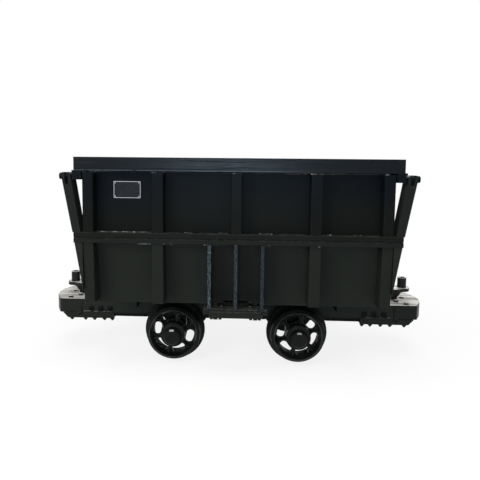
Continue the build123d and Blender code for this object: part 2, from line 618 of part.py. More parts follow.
rib_parts = [channel(*row) for row in RIBS]
with BuildPart() as ribs:
    add(rib_parts)
save(ribs.part, "door_ribs")

post_parts = [channel(*row) for row in POSTS]
with BuildPart() as posts:
    add(post_parts)
save(posts.part, "door_posts")

# Arms: straight tapering bars down to the posts, forked at the top round the tongue of the bracket
ARM_FRONT = BAND_FRONT + 2
ARM_DEPTH = 90
ARM_ROOT = DOOR_X + 0.2
FORK_HALF = 11
with BuildPart() as arms:
    for end, sx in ENDS:
        with BuildSketch(Plane.XZ.offset(-ARM_FRONT - ARM_DEPTH)):
            with BuildLine():
                Polyline((sx * (HINGE_X + 31), HINGE_Z + 13), (sx * (HINGE_X + 24), HINGE_Z + 22),
                         (sx * (HINGE_X - 14), HINGE_Z + 22), (sx * (HINGE_X - 22), HINGE_Z + 13),
                         (sx * ARM_ROOT, KNEE_Z - 40), (sx * ARM_ROOT, KNEE_Z - ARM_TAIL),
                         (sx * (DOOR_X + ARM_OUT), KNEE_Z + 20), close=True)
            make_face()
        extrude(amount=ARM_DEPTH)
        with BuildSketch(Plane.XZ.offset(-ARM_FRONT - ARM_DEPTH - 8)):
            with BuildLine():
                Polyline((sx * (HINGE_X - FORK_HALF), HINGE_Z + 35), (sx * (HINGE_X + FORK_HALF), HINGE_Z + 35),
                         (sx * (HINGE_X + FORK_HALF), HINGE_Z - 37), (sx * (HINGE_X + 6), HINGE_Z - 48),
                         (sx * (HINGE_X - 6), HINGE_Z - 48), (sx * (HINGE_X - FORK_HALF), HINGE_Z - 37), close=True)
            make_face()
        extrude(amount=ARM_DEPTH + 16, mode=Mode.SUBTRACT)
    with Locations((0, HINGE_Y, HINGE_Z)):
        Cylinder(HINGE_PIN_R, 2 * HINGE_X + 200, rotation=(0, 90, 0), mode=Mode.SUBTRACT)
    with Locations((0, BAND_BACK - 32, KNEE_Z)):
        Box(2 * HINGE_X, 64, BAND_HEIGHT, mode=Mode.SUBTRACT)
save(arms.part, "door_arms")

with BuildPart() as door_pins:
    for end, sx in ENDS:
        with BuildSketch(Plane.YZ.offset(sx * (HINGE_X - 28))):
            with Locations((HINGE_Y, HINGE_Z)):
                Circle(HINGE_PIN_R)
        extrude(amount=sx * 59)
        with BuildSketch(Plane.YZ.offset(sx * (HINGE_X + 31))):
            with Locations((HINGE_Y, HINGE_Z)):
                Circle(HINGE_PIN_R + 7)
        extrude(amount=sx * 14)
save(door_pins.part, "door_pins")

# Three plates on edge from the band down to the foot
with BuildPart() as bars:
    for x in (-BAR_X, 0, BAR_X):
        with BuildSketch(Plane.YZ.offset(x - BAR_WIDTH / 2)):
            with BuildLine():
                Polyline((BAND_FRONT, BAND_BOTTOM), (BAND_FRONT, BAR_FOOT), (FOOT_BACK, BAR_FOOT),
                         (FOOT_BACK, DOOR_CUT_TOP), (skin_front(DOOR_CUT_TOP), DOOR_CUT_TOP),
                         (skin_front(BAND_BOTTOM), BAND_BOTTOM), close=True)
            make_face()
        extrude(amount=BAR_WIDTH)
save(bars.part, "door_bars")

# Foot: a channel across the bars, and an apron lapped over its front
APRON_PLATE = 8
FOOT_FRONT = BAND_FRONT + APRON_PLATE
foot_bottom = BAR_FOOT - FOOT_HEIGHT
apron_top = foot_bottom + 14
with BuildPart() as foot:
    with BuildSketch(Plane.YZ.offset(-FOOT_HALF)):
        with BuildLine():
            Polyline((FOOT_FRONT, foot_bottom), (FOOT_FRONT, BAR_FOOT), (FOOT_BACK, BAR_FOOT), (FOOT_BACK, BAR_FOOT - 8),
                     (FOOT_FRONT + 8, BAR_FOOT - 8), (FOOT_FRONT + 8, foot_bottom + 8), (FOOT_BACK, foot_bottom + 8),
                     (FOOT_BACK, foot_bottom), close=True)
        make_face()
    extrude(amount=2 * FOOT_HALF)
    with BuildSketch(Plane.YZ.offset(-APRON_HALF)):
        with Locations(((BAND_FRONT + FOOT_FRONT) / 2, apron_top - APRON_HEIGHT / 2)):
            Rectangle(APRON_PLATE, APRON_HEIGHT)
    extrude(amount=2 * APRON_HALF)
save(foot.part, "door_foot")
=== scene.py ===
# %% [markdown]
# A side dump ore cart: a steel box on a short frame with four cast wheels. The box tips towards its
# door, which hangs on two leaning arms. Its construction could be modelled again here, but then its
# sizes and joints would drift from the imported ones. So it is loaded as a fixed frame, in metres, and
# this lesson gives every surface its finish and adds the small pieces: plate, bolts and welds.

# %% Load the frame
import math

import bmesh
import bpy
from mathutils import Matrix, Vector


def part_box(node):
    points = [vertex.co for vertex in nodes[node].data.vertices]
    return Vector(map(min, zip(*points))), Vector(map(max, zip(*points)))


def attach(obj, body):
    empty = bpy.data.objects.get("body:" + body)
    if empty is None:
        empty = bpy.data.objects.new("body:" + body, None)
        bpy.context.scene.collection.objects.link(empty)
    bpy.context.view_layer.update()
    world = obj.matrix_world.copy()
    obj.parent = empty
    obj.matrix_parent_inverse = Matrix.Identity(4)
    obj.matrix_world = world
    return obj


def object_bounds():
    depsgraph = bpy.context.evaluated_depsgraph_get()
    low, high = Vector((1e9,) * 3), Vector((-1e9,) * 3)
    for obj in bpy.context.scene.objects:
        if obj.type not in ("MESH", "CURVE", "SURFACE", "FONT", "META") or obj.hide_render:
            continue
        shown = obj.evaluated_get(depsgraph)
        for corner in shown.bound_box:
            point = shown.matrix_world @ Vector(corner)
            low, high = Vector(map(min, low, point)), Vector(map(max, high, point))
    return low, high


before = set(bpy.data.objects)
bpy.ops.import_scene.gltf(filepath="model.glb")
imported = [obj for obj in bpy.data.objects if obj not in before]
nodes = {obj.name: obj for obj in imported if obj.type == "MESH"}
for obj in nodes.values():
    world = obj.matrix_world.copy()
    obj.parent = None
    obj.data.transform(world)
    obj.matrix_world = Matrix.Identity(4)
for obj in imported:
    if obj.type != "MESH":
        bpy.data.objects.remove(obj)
box_at_load = [list(corner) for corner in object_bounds()]
print(len(nodes), "nodes in the box", box_at_load)

# %% [markdown]
# The camera stands nearly in front of the middle of the door, at about the height of the rim, and
# looks slightly down and to the left. It could be aimed with a Track To constraint, but three plain
# turns are easier to match: they come from where the wheels and the rim are in the picture. The
# picture was cropped off centre, so the lens has a small shift.

# %% Camera
CAMERA_PLACE = (0.0248, -3.2957, 1.2702)
CAMERA_YAW = 0.0442
CAMERA_DOWN = 0.0903
CAMERA_ROLL = 0.0095
FOCAL_IN_WIDTHS = 0.9908
SENSOR_MM = 36.0
SHIFT_X = 0.0419
SHIFT_Y = -0.0677

aim = Matrix.Rotation(CAMERA_YAW, 4, "Z") @ Matrix.Rotation(math.pi / 2 - CAMERA_DOWN, 4, "X")
aim = aim @ Matrix.Rotation(CAMERA_ROLL, 4, "Z")
bpy.ops.object.camera_add(location=CAMERA_PLACE)
camera = bpy.context.object
camera.matrix_world = Matrix.Translation(CAMERA_PLACE) @ aim
camera.data.sensor_width = SENSOR_MM
camera.data.lens = FOCAL_IN_WIDTHS * SENSOR_MM
camera.data.shift_x = SHIFT_X
camera.data.shift_y = SHIFT_Y
bpy.context.scene.camera = camera
print("camera lens", round(camera.data.lens, 2))

# %% [markdown]
# A shader is a tree of nodes. It could be drawn in the editor, or typed as one long list of nodes and
# links, but its maths reads best as plain sums. So Value wraps a node's output, and each sum on it
# adds a Math node.


# %% Sums of shader values
class Value:
    """An output of a node that takes part in sums."""

    def __init__(self, finish, socket):
        self.finish = finish
        self.socket = socket

    def calc(self, operation, *values):
        made = self.finish.node("ShaderNodeMath", {"operation": operation}, dict(enumerate(values)))
        return Value(self.finish, made.outputs[0])

    def __add__(self, other):
        return self.calc("ADD", self, other)

    def __sub__(self, other):
        return self.calc("SUBTRACT", self, other)

    def __rsub__(self, other):
        return self.calc("SUBTRACT", other, self)

    def __mul__(self, other):
        return self.calc("MULTIPLY", self, other)

    __radd__ = __add__
    __rmul__ = __mul__

    def most(self, other):
        """The larger of the two."""
        return self.calc("MAXIMUM", self, other)

    def size(self):
        """The value without its sign."""
        return self.calc("ABSOLUTE", self)

    def root(self):
        return self.calc("SQRT", self)

    def rise(self, start, end):
        """0 below start, 1 above end, and smooth between. It falls where start is the larger."""
        made = self.finish.node(
            "ShaderNodeMapRange",
            {"interpolation_type": "SMOOTHSTEP"},
            {0: self, 1: start, 2: end, 3: 0.0, 4: 1.0})
        return Value(self.finish, made.outputs[0])


print("sums are ready")

# %% [markdown]
# Finish holds one tree. Every other node comes from its node method, which takes the settings before
# the sockets, because some settings change which sockets the node has. Colours are blended by a Mix
# node, because a Math node would turn them grey. A Mix node has sockets for numbers, vectors and
# colours: the mask goes into socket 0, the colours into 6 and 7, and the colour comes out of 2.


# %% Trees of nodes
class Finish:
    """A tree of nodes, of a material or of the world."""

    def __init__(self, tree):
        self.tree = tree

    def feed(self, socket, value):
        """Links a Value to the socket, or sets it to a plain number or colour."""
        if isinstance(value, Value):
            self.tree.links.new(value.socket, socket)
        else:
            socket.default_value = value

    def node(self, kind, settings=None, inputs=None):
        made = self.tree.nodes.new(kind)
        for name, setting in (settings or {}).items():
            setattr(made, name, setting)
        for name, value in (inputs or {}).items():
            self.feed(made.inputs[name], value)
        return made

    def out(self, kind, output, settings=None, inputs=None):
        """One output of a new node."""
        return Value(self, self.node(kind, settings, inputs).outputs[output])

    def blend(self, mask, below, above):
        """The colour below where the mask is 0, and above where it is 1."""
        return self.out("ShaderNodeMix", 2, {"data_type": "RGBA"}, {0: mask, 6: below, 7: above})


def colour(red, green, blue):
    return (red, green, blue, 1.0)


def seen_directly(finish):
    """1 for rays from the camera, from a gloss or through glass."""
    path = finish.node("ShaderNodeLightPath")
    camera_ray = Value(finish, path.outputs["Is Camera Ray"])
    glossy_ray = Value(finish, path.outputs["Is Glossy Ray"])
    through_ray = Value(finish, path.outputs["Is Transmission Ray"])
    return camera_ray.most(glossy_ray).most(through_ray)


print("trees are ready")

# %% [markdown]
# The cart stands in a white studio. Strong light would make the background white, but it would also
# bleach the paint. So the world is plain white only to the camera and in reflections, and dim for
# everything that it lights.

# %% White world
WHITE = colour(1.0, 1.0, 1.0)
AMBIENT = 0.28

world = bpy.data.worlds.new("studio")
world.use_nodes = True
bpy.context.scene.world = world
sky = Finish(world.node_tree)
background = world.node_tree.nodes["Background"]
background.inputs["Color"].default_value = WHITE
sky.feed(background.inputs["Strength"], AMBIENT + seen_directly(sky) * (1.0 - AMBIENT))
print("ambient light", AMBIENT)

# %% [markdown]
# The floor is a plane that goes on past the picture. A plain white one would show a hard edge or a
# grey cast, so it glows white like the world, and near the cart it also takes a share of the real
# shadow, which fades out with distance.

# %% Floor
FLOOR_SIZE = 60.0
FLOOR_GREY = colour(0.9, 0.9, 0.9)
SHADOW_SHARE = 0.16
SHADOW_NEAR = 0.9
SHADOW_FAR = 3.2

bpy.ops.object.select_all(action="DESELECT")
bpy.ops.mesh.primitive_plane_add(size=FLOOR_SIZE, location=(0, 0, box_at_load[0][2]))
floor = bpy.context.object
floor.name = "studio_floor"
bpy.ops.object.transform_apply(location=True, rotation=True, scale=True)
floor_material = bpy.data.materials.new("studio_floor")
floor_material.use_nodes = True
ground = Finish(floor_material.node_tree)
ground.tree.nodes.clear()
matte = ground.out("ShaderNodeBsdfDiffuse", 0, inputs={"Color": FLOOR_GREY})
glow = ground.out("ShaderNodeEmission", 0, inputs={"Color": WHITE, "Strength": 1.0})
spot = ground.out("ShaderNodeTexCoord", "Object")
from_cart = ground.out("ShaderNodeVectorMath", "Value", {"operation": "LENGTH"}, {0: spot})
shadow_share = from_cart.rise(SHADOW_FAR, SHADOW_NEAR) * SHADOW_SHARE
seen_share = seen_directly(ground) * (1.0 - shadow_share)
ground_mix = ground.out("ShaderNodeMixShader", 0, inputs={0: seen_share, 1: matte, 2: glow})
ground.node("ShaderNodeOutputMaterial", inputs={"Surface": ground_mix})
floor.data.materials.append(floor_material)
print("floor at", box_at_load[0][2])

# %% [markdown]
# Four soft lamps light the cart. The large one above lifts the top edges, the one in front, to the
# left, gives the door its even tone and leaves the sides of the ribs dark, and the one at the back
# does the same for the far side. A bluish strip far behind the camera is there to be mirrored: at
# this height it shows only in the rim. Area lamps are used because a point lamp's hard shadows would
# draw lines on the panels that are not there.

# %% Lamps
# name: place, aim, width, height, power, colour
LAMPS = {
    "top": ((0.0, -0.9, 4.2), (0, 0, 0.6), 4.0, 3.0, 190, (1.0, 0.98, 0.95)),
    "front": ((-3.5, -4.2, 3.0), (0, 0, 0.7), 2.2, 2.0, 152, (1.0, 0.98, 0.94)),
    "back": ((1.4, 5.6, 2.6), (0, 0, 0.7), 3.0, 2.4, 95, (1.0, 0.98, 0.95)),
    "strip": ((-0.3, -10.4, 2.0), (0, 0, 1.2), 2.7, 1.2, 290, (0.62, 0.82, 1.0)),
}
for name, (place, target, width, height, power, lamp_colour) in LAMPS.items():
    bpy.ops.object.light_add(type="AREA", location=place)
    lamp = bpy.context.object
    lamp.name = "lamp_" + name
    lamp.rotation_euler = (Vector(target) - Vector(place)).to_track_quat("-Z", "Y").to_euler()
    lamp.data.shape = "RECTANGLE"
    lamp.data.size = width
    lamp.data.size_y = height
    lamp.data.energy = power
    lamp.data.color = lamp_colour
bpy.context.scene.view_settings.view_transform = "Standard"
print(len(LAMPS), "lamps")

# %% [markdown]
# All metal on this cart has noise, worn edges and relief in its finish. They could be painted as
# images, but procedural patterns stay sharp at any size and need no unwrapping. They read Object
# coordinates, which are metres here, so a noise is given in lumps to the metre, and a mask can say
# where on the cart it lies.


# %% Shared patterns
class Coat(Finish):
    """A Principled material with the patterns that this cart's finishes share."""

    def __init__(self, name, specular):
        self.material = bpy.data.materials.new(name)
        self.material.use_nodes = True
        super().__init__(self.material.node_tree)
        self.shader = self.tree.nodes["Principled BSDF"]
        self.shader.inputs["Specular IOR Level"].default_value = specular
        places = self.node("ShaderNodeTexCoord")
        self.place = Value(self, places.outputs["Object"])
        facing = Value(self, places.outputs["Normal"])
        self.x, self.y, self.z = self.split(self.place)
        self.face_x, self.face_y, self.face_z = self.split(facing)

    def split(self, vector):
        made = self.node("ShaderNodeSeparateXYZ", inputs={0: vector})
        return [Value(self, output) for output in made.outputs]

    def noise(self, lumps, detail=2.0, roughness=0.5, stretch=(1, 1, 1)):
        """Noise of that many lumps to the metre, drawn out along an axis where stretch is small."""
        place = self.out("ShaderNodeMapping", 0, inputs={"Vector": self.place, "Scale": stretch})
        inputs = {"Vector": place, "Scale": lumps, "Detail": detail, "Roughness": roughness}
        return self.out("ShaderNodeTexNoise", 0, inputs=inputs)

    def edges(self, width):
        """Above 0 on sharp edges: how far a rounded normal turns from the true one."""
        rounded = self.out("ShaderNodeBevel", 0, {"samples": 6}, {"Radius": width})
        true = self.out("ShaderNodeNewGeometry", "Normal")
        dot = {"operation": "DOT_PRODUCT"}
        return 1.0 - self.out("ShaderNodeVectorMath", "Value", dot, {0: rounded, 1: true})

    def relief(self, height, depth, under=None):
        """A Bump node's normal, for the shader or for the next Bump."""
        inputs = {"Height": height, "Distance": depth}
        if under is not None:
            inputs["Normal"] = under
        return self.out("ShaderNodeBump", 0, inputs=inputs)

    def finished(self, base, rough, normal=None, metal=None):
        """The material, with its shader fed."""
        sockets = {"Base Color": base, "Roughness": rough, "Normal": normal, "Metallic": metal}
        for name, value in sockets.items():
            if value is not None:
                self.feed(self.shader.inputs[name], value)
        return self.material


print("patterns are ready")

# %% [markdown]
# The paint is a thin near-black coat, half glossy. Up the height its colour goes from a darker, bluish
# top to a lighter, greenish lower part. The top colour is painted shade with a painted bluish sheen. The
# lower colour is partly dust that has settled and partly painted light, where the floor would light the
# lower panels. One colour for all would look like plastic. So two blends run up the height, dust lies on
# ledges and in streaks, and edges are rubbed through to grey. Rolled plate is never quite flat, so a
# slow wave bends the reflections, and a fine grain breaks them.

# %% Paint
TOP_SHADE_AND_SHEEN = colour(0.0036, 0.0052, 0.0074)
MIDDLE_PAINT = colour(0.0060, 0.0066, 0.0056)
LOW_DUST_AND_LIGHT = colour(0.0132, 0.0150, 0.0126)
DUST = colour(0.056, 0.057, 0.052)
RUBBED = colour(0.085, 0.088, 0.086)
TOP_FROM = 0.88
TOP_TO = 1.26
LOW_FROM = 0.90
LOW_TO = 0.76
EDGE_WIDTH = 0.004


class Paint(Coat):
    """Near-black paint, with the grain and wear that the metal under it gives."""

    def __init__(
            self, name, specular=0.03, grain_depth=0.0004, wave_depth=0.003, dust_share=0.5, tone=1.0):
        super().__init__(name, specular)
        streaks = self.noise(7.0, 3.0, 0.6, (1.0, 1.0, 0.09))
        patches = self.noise(2.4, 3.0)
        grain = self.noise(260.0, 2.0)
        orange_peel = self.noise(85.0, 1.0)
        wave = self.noise(2.2, 1.0)
        # towards the top the colour darkens and turns bluish: painted shade with a painted sheen
        top = (self.z + (patches - 0.5) * 0.35).rise(TOP_FROM, TOP_TO)
        # towards the bottom the colour lightens: partly dust, partly painted light
        low = (self.z + (patches - 0.5) * 0.12).rise(LOW_FROM, LOW_TO)
        base = self.blend(low, self.blend(top, MIDDLE_PAINT, TOP_SHADE_AND_SHEEN), LOW_DUST_AND_LIGHT)
        ledge = self.face_z.rise(0.5, 0.95) * self.noise(18.0, 4.0, 0.7).rise(0.35, 0.7)
        film = streaks.rise(0.5, 0.78) * patches.rise(0.4, 0.7) * 0.05
        dust = (ledge * dust_share).most(film)
        chips = self.edges(EDGE_WIDTH).rise(0.02, 0.2) * self.noise(60.0, 4.0, 0.7).rise(0.52, 0.64)
        base = self.blend(chips, self.blend(dust, base, DUST), RUBBED)
        scale = {"operation": "SCALE"}
        self.base = self.out("ShaderNodeVectorMath", 0, scale, {0: base, "Scale": tone})
        self.rough = 0.36 + (grain - 0.5) * 0.16 + (streaks - 0.5) * 0.14 + dust * 0.3
        bent = self.relief(wave, wave_depth)
        self.normal = self.relief(orange_peel * 0.6 + grain * 0.4, grain_depth, bent)

    def plain(self):
        """The material as painted, with nothing more done to it."""
        return self.finished(self.base, self.rough, self.normal)


body_paint = Paint("body_paint").plain()
print(body_paint.name)

# %% [markdown]
# The rim is wiped by hands and sleeves, so its coat is glossier than the panels'. It mirrors the bluish
# strip in long streaks, because the folded sheet ripples along its length. On the left its lower edge
# has a painted highlight, a thin light line painted into its colour. The ripple is in the relief and not
# in the mesh, so that it bends the reflections and leaves the outline straight.

# %% Rim
RIM_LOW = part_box("top_rim")[0].z
RIM_PAINTED_HIGHLIGHT = colour(0.052, 0.066, 0.082)

rim = Paint("rim_paint", specular=0.09, grain_depth=0.0002)
ripple = rim.noise(9.0, 3.0, 0.6, (0.12, 1.0, 2.2))
# a painted highlight along the lower edge of the rim, on its left part
painted_glint = rim.z.rise(RIM_LOW + 0.0065, RIM_LOW + 0.0045) * rim.x.rise(0.5, 0.1)
painted_glint = painted_glint * rim.noise(20.0, 3.0).rise(0.25, 0.5)
rim_paint = rim.finished(
    base=rim.blend(painted_glint * 0.7, rim.base, RIM_PAINTED_HIGHLIGHT),
    rough=rim.rough * 0.75,
    normal=rim.relief(ripple, 0.004, rim.normal))
print(rim_paint.name)

# %% [markdown]
# The frame carries the same coat where it is never wiped. It is dustier, and the plate under it is burnt
# and hammered, so the grain is coarser. The uprights of the door are a shade darker than the panels, as
# painted shade. The arms are a shade lighter, as painted light: they take a share of the lighter colour
# of the lower paint. Each could have a tree of its own, but the same class with other numbers keeps them
# one paint.

# %% Frame, uprights and arms
ARM_LIGHT_SHARE = 0.55

frame_paint = Paint(
    "frame_paint", specular=0.04, grain_depth=0.0008, wave_depth=0.002, dust_share=0.7).plain()
# a shade darker than the panels: painted shade
upright_shaded_paint = Paint("upright_shaded_paint", tone=0.93).plain()
arm = Paint("arm_lit_paint", specular=0.05)
# a share of the lighter low colour: painted light
arm_lit_paint = arm.finished(arm.blend(ARM_LIGHT_SHARE, arm.base, LOW_DUST_AND_LIGHT), arm.rough, arm.normal)
print(frame_paint.name, upright_shaded_paint.name, arm_lit_paint.name)

# %% [markdown]
# The foot of the beams is painted black as shade, the shadow under the box. The seam where a beam ends
# at its buffer is painted black too, as the shade in the gap. The rest of the beam's paint is a fifth
# lighter, as painted light. The bolts at the sides are black all over, with rubbed corners, and their
# black is partly painted shade round them. The painted shade could be a second material on picked faces,
# but its border runs across them, so a mask made from height and length puts it where it belongs, and a
# noise keeps its lower border from being a straight line.

# %% Beams and bolts
BLACK_AND_SHADE = colour(0.0016, 0.0017, 0.0018)
FOOT_SHADE_FROM = 0.276
FOOT_SHADE_TO = 0.252
BEAM_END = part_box("frame_beams")[1].x

# tone 1.2 makes the beam's paint lighter: painted light
beam = Paint("beam_paint", wave_depth=0.002, tone=1.2)
# painted shade: the foot of the beam goes black, as the shadow under the box
foot_shade = (beam.z + (beam.noise(11.0, 3.0, 0.6) - 0.5) * 0.012).rise(FOOT_SHADE_FROM, FOOT_SHADE_TO)
# painted shade in the gap where the beam ends at its buffer
seam_shade = beam.x.size().rise(BEAM_END - 0.009, BEAM_END - 0.005)
beam_base = beam.blend(foot_shade.most(seam_shade) * 0.9, beam.base, BLACK_AND_SHADE)
beam_paint = beam.finished(beam_base, beam.rough, beam.normal)

black = Coat("bolt_black", 0.05)
oily = black.noise(55.0, 3.0, 0.6)
# black bolts, their black partly painted shade round them
bolt_black = black.finished(
    base=black.blend(black.edges(0.003).rise(0.03, 0.2) * oily, BLACK_AND_SHADE, RUBBED),
    rough=0.35 + (oily - 0.5) * 0.3)
print(beam_paint.name, bolt_black.name)

# %% [markdown]
# The wheels are cast in sand, which leaves a pebbled skin that the paint follows. Its noise has two
# sizes, one of sand grains and one of the slow swells of a casting. The ridge round the face carries a
# painted highlight, strongest on its upper half. The raised edges are rubbed, and their lighter colour
# is partly a painted highlight on the spokes and the hub. The ridge's faces could be picked on every
# wheel, but it is the same circle on all four, so one mask finds it by its distance from the nearest
# axle.

# %% Cast wheels
AXLE_X = 0.395
AXLE_Z = 0.195
RIDGE_R = 0.149
RIDGE_HALF = 0.004
RIDGE_Y = 0.374
CAST_DARK = colour(0.0050, 0.0058, 0.0054)
CAST_LIGHT = colour(0.0100, 0.0110, 0.0095)

cast = Coat("cast_wheel", 0.05)
film = cast.noise(9.0, 4.0, 0.65)
along = cast.x.size() - AXLE_X
above = cast.z - AXLE_Z
from_axle = (along * along + above * above).root()
# painted highlight on the ridge round the face, strongest on its upper half
ridge_highlight = (from_axle - RIDGE_R).size().rise(RIDGE_HALF, RIDGE_HALF * 0.3)
ridge_highlight = ridge_highlight * cast.y.size().rise(RIDGE_Y - 0.005, RIDGE_Y) * above.rise(-0.14, 0.02).most(0.25)
# rubbed edges, partly wear and partly painted highlight
rubbed_and_highlit_edges = cast.edges(0.005).rise(0.03, 0.25) * cast.noise(45.0, 3.0, 0.7).rise(0.42, 0.60)
cast_base = cast.blend(film.rise(0.4, 0.7), CAST_DARK, CAST_LIGHT)
swells = cast.relief(cast.noise(26.0, 2.0), 0.002)
cast_wheel = cast.finished(
    base=cast.blend((rubbed_and_highlit_edges * 0.7).most(ridge_highlight * 0.5), cast_base, RUBBED),
    rough=0.36 + (film - 0.5) * 0.3,
    normal=cast.relief(cast.noise(210.0, 3.0, 0.6), 0.0007, swells))
print(cast_wheel.name, "on axles", AXLE_X, "from the middle")

# %% [markdown]
# The hub caps are a little lighter than the wheels, and their bevel has a painted highlight where it
# faces up. A brighter lamp would give that glint too, and spoil the rest. So it is painted into the
# colour through a mask: the part of the bevel whose normal points up far enough, fading towards the
# right.

# %% Hub caps
CAP_DARK = colour(0.0062, 0.0070, 0.0062)
CAP_LIGHT = colour(0.0105, 0.0112, 0.0098)
CAP_PAINTED_HIGHLIGHT = colour(0.42, 0.43, 0.41)

cap = Coat("hub_cap", 0.05)
cap_film = cap.noise(14.0, 4.0, 0.65)
# painted highlight on the upward part of the cap's bevel
painted_glint = cap.face_z.rise(0.655, 0.70) * cap.face_y.size().rise(0.45, 0.6) * cap.x.rise(1.3, -0.3)
cap_base = cap.blend(cap_film.rise(0.35, 0.7), CAP_DARK, CAP_LIGHT)
hub_cap = cap.finished(
    base=cap.blend(painted_glint, cap_base, CAP_PAINTED_HIGHLIGHT),
    rough=0.34 + (cap_film - 0.5) * 0.2,
    normal=cap.relief(cap.noise(210.0, 3.0, 0.6), 0.0005))
print(hub_cap.name)

# %% [markdown]
# Where links, pins and the next cart rub, the paint is gone and scraped steel shows, with a little
# rust. The worn places could be separate pieces, but the real border is ragged, and a noise in the
# mask gives that. The mask itself comes from which way a face looks and where it is.

# %% Worn steel
STEEL_DULL = colour(0.27, 0.262, 0.25)
STEEL_BRIGHT = colour(0.70, 0.68, 0.65)
RUST = colour(0.09, 0.075, 0.06)


def worn(paint, mask, gloss=1.0):
    """The painted material, with bare steel where the mask is 1."""
    ragged = paint.noise(24.0, 5.0, 0.7)
    bare = (mask * 1.35 - ragged * 0.55).rise(0.3, 0.7)
    scrapes = paint.noise(30.0, 3.0, 0.6, (0.15, 1.0, 1.0))
    steel = paint.blend(scrapes.rise(0.35, 0.68), STEEL_DULL, STEEL_BRIGHT)
    steel = paint.blend(ragged.rise(0.58, 0.75) * 0.6, steel, RUST)
    return paint.finished(
        base=paint.blend(bare, paint.base, steel),
        rough=(paint.rough + bare * 0.12) * gloss,
        normal=paint.normal,
        metal=bare * 0.35)


print("bare steel is", STEEL_DULL[:3], "to", STEEL_BRIGHT[:3])

# %% [markdown]
# Three kinds of piece are worn: the buffers on their tops and noses, the pin guides on their tops, and
# the shoes on their turned-up lips, only beside the beams and only here and there. Each could get one
# mask over all of it, but then the faces that nothing touches would shine too.

# %% Worn buffers, guides and shoes
NOSE_FROM = 1.234
NOSE_TO = 1.250
LIP_Y = 0.191
LIP_END = 1.043

buffer = Paint("worn_steel", specular=0.05)
worn_steel = worn(buffer, buffer.face_z.rise(0.5, 0.9).most(buffer.x.size().rise(NOSE_FROM, NOSE_TO)))

guide = Paint("worn_guide", specular=0.1, tone=0.8)
worn_guide = worn(guide, guide.face_z.rise(0.5, 0.9), gloss=0.8)

shoe = Paint("worn_lip", specular=0.04, grain_depth=0.0012)
lip = shoe.face_z.rise(0.5, 0.9) * shoe.y.size().rise(LIP_Y - 0.002, LIP_Y)
lip = lip * shoe.x.size().rise(LIP_END + 0.002, LIP_END) * shoe.noise(55.0, 3.0, 0.6).rise(0.44, 0.52)
worn_lip = worn(shoe, lip)
print(worn_steel.name, worn_guide.name, worn_lip.name)

# %% [markdown]
# Axles and tilt pins were turned and never painted. They are dull grey with a little oil. Fine rings
# run round an axle, because the noise changes along it and hardly at all across it, which is simpler
# than modelling grooves too fine to see.

# %% Turned steel
TURNED_GREY = colour(0.16, 0.16, 0.155)
OIL = colour(0.035, 0.033, 0.030)

turned = Coat("turned_steel", 0.5)
rings = turned.noise(900.0, 2.0, 0.5, (0.08, 1.0, 0.08))
oil = turned.noise(14.0, 4.0, 0.65).rise(0.4, 0.65)
turned_steel = turned.finished(
    base=turned.blend(oil, TURNED_GREY, OIL),
    rough=0.34 + rings * 0.2 + oil * 0.1,
    normal=turned.relief(rings, 0.0002),
    metal=0.8)
print(turned_steel.name)

# %% [markdown]
# The three narrow plates on the door stand on edge, and their front edges were cut by flame. The cut
# leaves fine upright flutes and a blue-grey scale that the thin paint hardly covers. The flutes could
# be cut into the mesh, but they are too fine for it, so they are a speckle that is drawn out upwards.
# Only faces that look forward take the scale. Its light flecks are strongest on the plate on the left,
# as painted light from the lamp on that side, and weaker to the right.

# %% Flame-cut edges
SCALE_DARK = colour(0.0095, 0.0125, 0.016)
SCALE_LIGHT = colour(0.078, 0.095, 0.115)

cut = Paint("flame_cut", specular=0.05)
speckle = cut.noise(95.0, 4.0, 0.75, (1.0, 1.0, 0.5))
# the scale's flecks, with painted light that is strongest on the left
scale_and_painted_light = speckle.rise(0.42, 0.66) * (0.30 + cut.x.rise(0.1, -0.16) * 0.70)
scale = cut.blend(scale_and_painted_light, SCALE_DARK, SCALE_LIGHT)
flame_cut = cut.finished(
    base=cut.blend(cut.face_y.rise(-0.7, -0.95), cut.base, scale),
    rough=cut.rough,
    normal=cut.relief(speckle, 0.0012, cut.normal))
print(flame_cut.name)

# %% [markdown]
# Inside the box the ore scours the paint away, and grey-brown metal with long scratches shows. The
# box's plates are one solid each, inside and outside, so two materials would need their faces picked
# out. A mask is simpler: a point is inside where it lies within the inner faces.

# %% Scoured plate
INNER_X = 0.8815
INNER_FAR = 0.5065
INNER_NEAR = -0.4955
INNER_FLOOR = 0.4725
BORDER = 0.001
PLATE_DARK = colour(0.045, 0.038, 0.031)
PLATE_LIGHT = colour(0.17, 0.155, 0.135)

scour = Paint("scoured_plate")
inside = scour.x.size().rise(INNER_X, INNER_X - BORDER) * scour.z.rise(INNER_FLOOR, INNER_FLOOR + BORDER)
inside = inside * scour.y.rise(INNER_FAR, INNER_FAR - BORDER)
inside = inside * scour.y.rise(INNER_NEAR, INNER_NEAR + BORDER)
depth = (scour.z + (scour.noise(3.0, 4.0, 0.6) - 0.5) * 0.9).rise(1.25, 0.55)
scratches = scour.noise(14.0, 5.0, 0.75, (1.0, 1.0, 0.12))
bare_plate = scour.blend(scratches.rise(0.35, 0.68), PLATE_DARK, PLATE_LIGHT)
scoured_plate = scour.finished(
    base=scour.blend(inside * depth * scratches.rise(0.3, 0.5), scour.base, bare_plate),
    rough=scour.rough + inside * 0.15,
    normal=scour.normal)
print(scoured_plate.name)

# %% [markdown]
# Each piece of the frame takes one of these finishes by the start of its name, and the first start
# that fits counts, so the longer starts come first. A table is easier to check than forty-two lines
# of assignments. All that is not named here is plain body paint.

